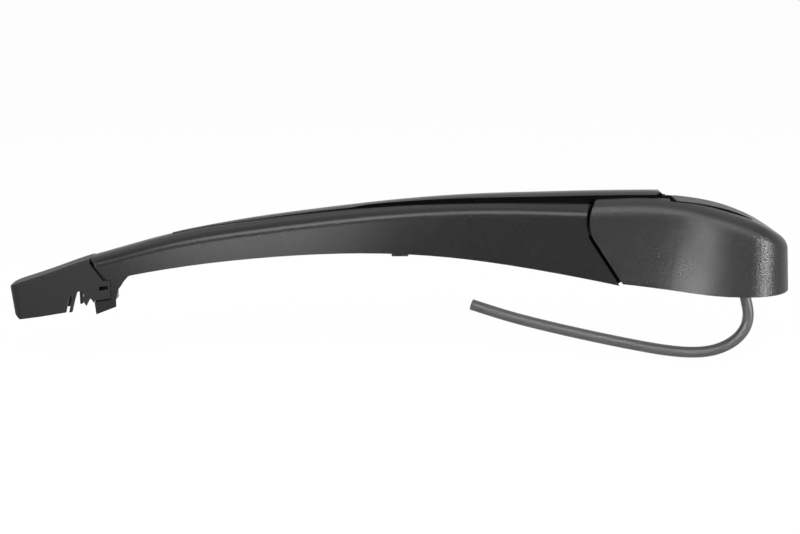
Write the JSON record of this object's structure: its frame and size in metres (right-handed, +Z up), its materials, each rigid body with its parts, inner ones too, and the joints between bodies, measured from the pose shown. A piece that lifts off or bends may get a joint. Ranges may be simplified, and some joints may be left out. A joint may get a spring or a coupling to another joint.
{
  "type": "rear window wiper arm",
  "caption": "Hollow sprung wiper arm with a hinged head, a nut cap, a cover strip, a claw for the blade's pin and a built-in washer hose that leaves through the head.",
  "frame": {"origin": "on the spindle axis, in the middle of the plain land of the spindle bush", "axes": "+Z up along the spindle axis, away from the car's panel; -X along the arm towards the blade; +Y to the side where the hose leaves"},
  "size_m": [0.3418, 0.042, 0.0795],
  "materials": {
    "arm_black": "smooth satin",
    "head_black": "fine grain",
    "clip_black": "matte",
    "black_moulding": "matte",
    "hose_rubber": "matte",
    "bright_steel": "zinc plated",
    "insert_metal": "machined",
    "bush_metal": "plain"
  },
  "bodies": {
    "head": {"arm_head": "head_black", "spindle_bush": "insert_metal", "pivot_pin_near": "bright_steel", "pivot_pin_far": "bright_steel", "spring_pin": "bright_steel", "cap_pin": "bright_steel", "washer_hose_head": "hose_rubber", "washer_hose_hinge": "hose_rubber", "washer_hose_tail": "hose_rubber"},
    "arm": {"lift_arm": "arm_black", "cover_strip": "arm_black", "blade_clip": "clip_black", "pivot_bush_near": "bush_metal", "pivot_bush_far": "bush_metal", "anchor_pin": "bright_steel", "spring_rod": "bright_steel", "washer_nozzle": "black_moulding", "nozzle_jet": "bush_metal", "washer_hose_arm": "hose_rubber", "hose_clip_front": "black_moulding", "hose_clip_rear": "black_moulding"},
    "spring_link": {"spring_hook": "bright_steel", "tension_spring": "bright_steel"},
    "cap": {"nut_cap": "head_black"}
  },
  "joints": [
    {"name": "arm_lift", "type": "hinge", "parent": "head", "child": "arm", "pos_m": [-0.0415, 0, 0.0188], "axis": [0, 1, 0], "range_deg": [0, 50], "stiffness_Nm_per_rad": 0.5, "springref_deg": -171.89, "deforming": ["washer_hose_hinge"]},
    {"name": "hook_swing", "type": "hinge", "parent": "head", "child": "spring_link", "pos_m": [-0.0415, 0, 0.0085], "axis": [0, 1, 0], "range_deg": [0, 48]},
    {"name": "cap_open", "type": "hinge", "parent": "head", "child": "cap", "pos_m": [-0.0174, 0, 0.0236], "axis": [0, -1, 0], "range_deg": [0, 90]}
  ],
  "couplings": [
    {"joint": "hook_swing", "follows": "arm_lift", "ratio": 0.954}
  ]
}
